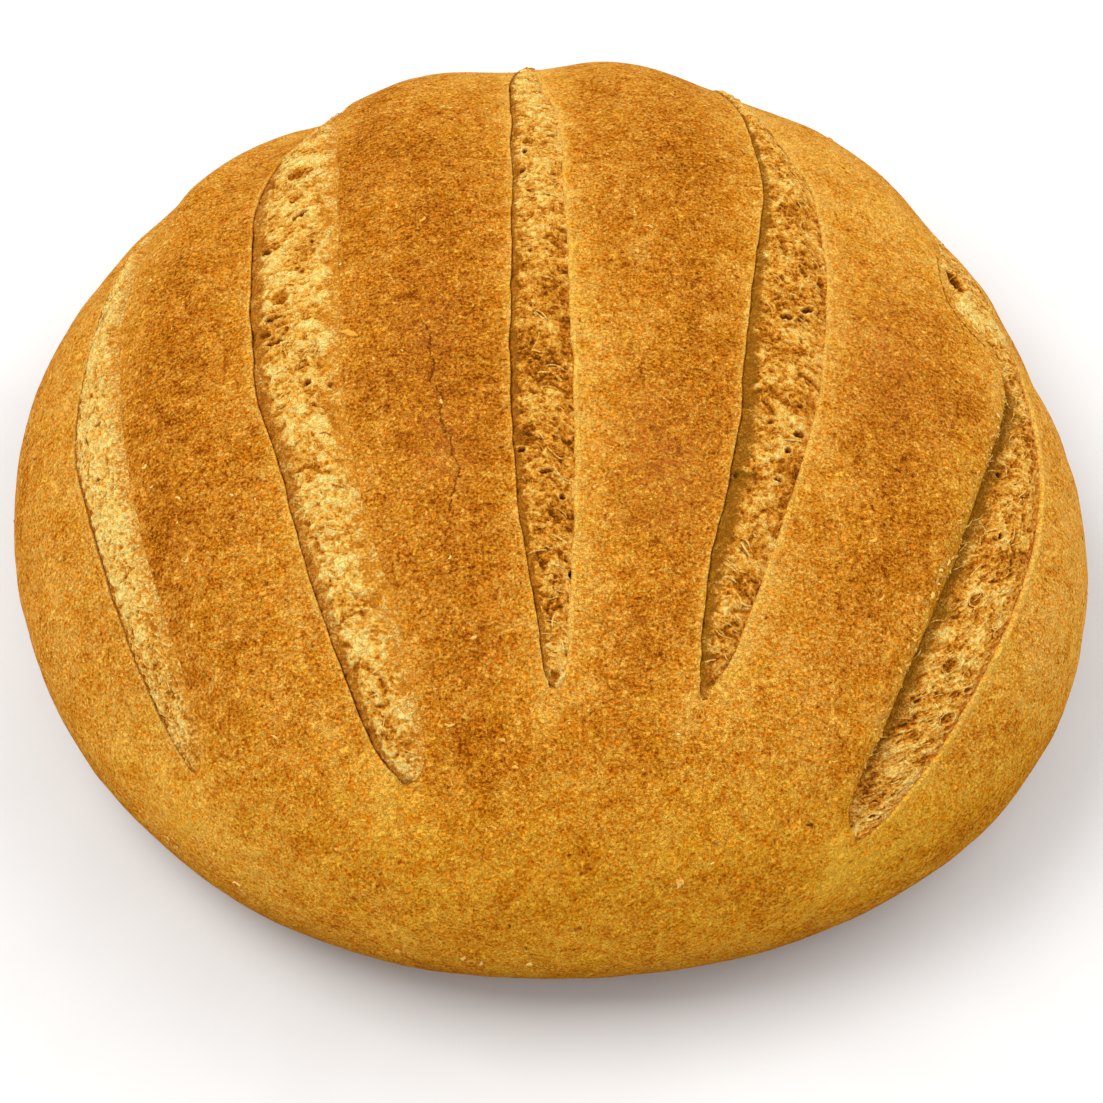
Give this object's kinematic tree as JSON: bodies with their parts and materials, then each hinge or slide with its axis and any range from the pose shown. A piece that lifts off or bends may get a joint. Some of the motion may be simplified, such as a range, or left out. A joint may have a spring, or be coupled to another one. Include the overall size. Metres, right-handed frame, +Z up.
{
  "type": "sourdough loaf",
  "caption": "Round, domed sourdough loaf with a golden crust, torn open along long slashes across its top, on a flat base.",
  "frame": {"origin": "centre of the flat base, at the middle of the loaf's box", "axes": "+Z up, +X across the slashes, -Y towards the side where the slashes end short of the rim"},
  "size_m": [0.2628, 0.259, 0.0887],
  "materials": {
    "crust": "dry, matt, finely grained baked crust",
    "crumb": "dry, matt, torn open crumb"
  },
  "bodies": {
    "root": {"loaf": "crust"}
  },
  "joints": []
}
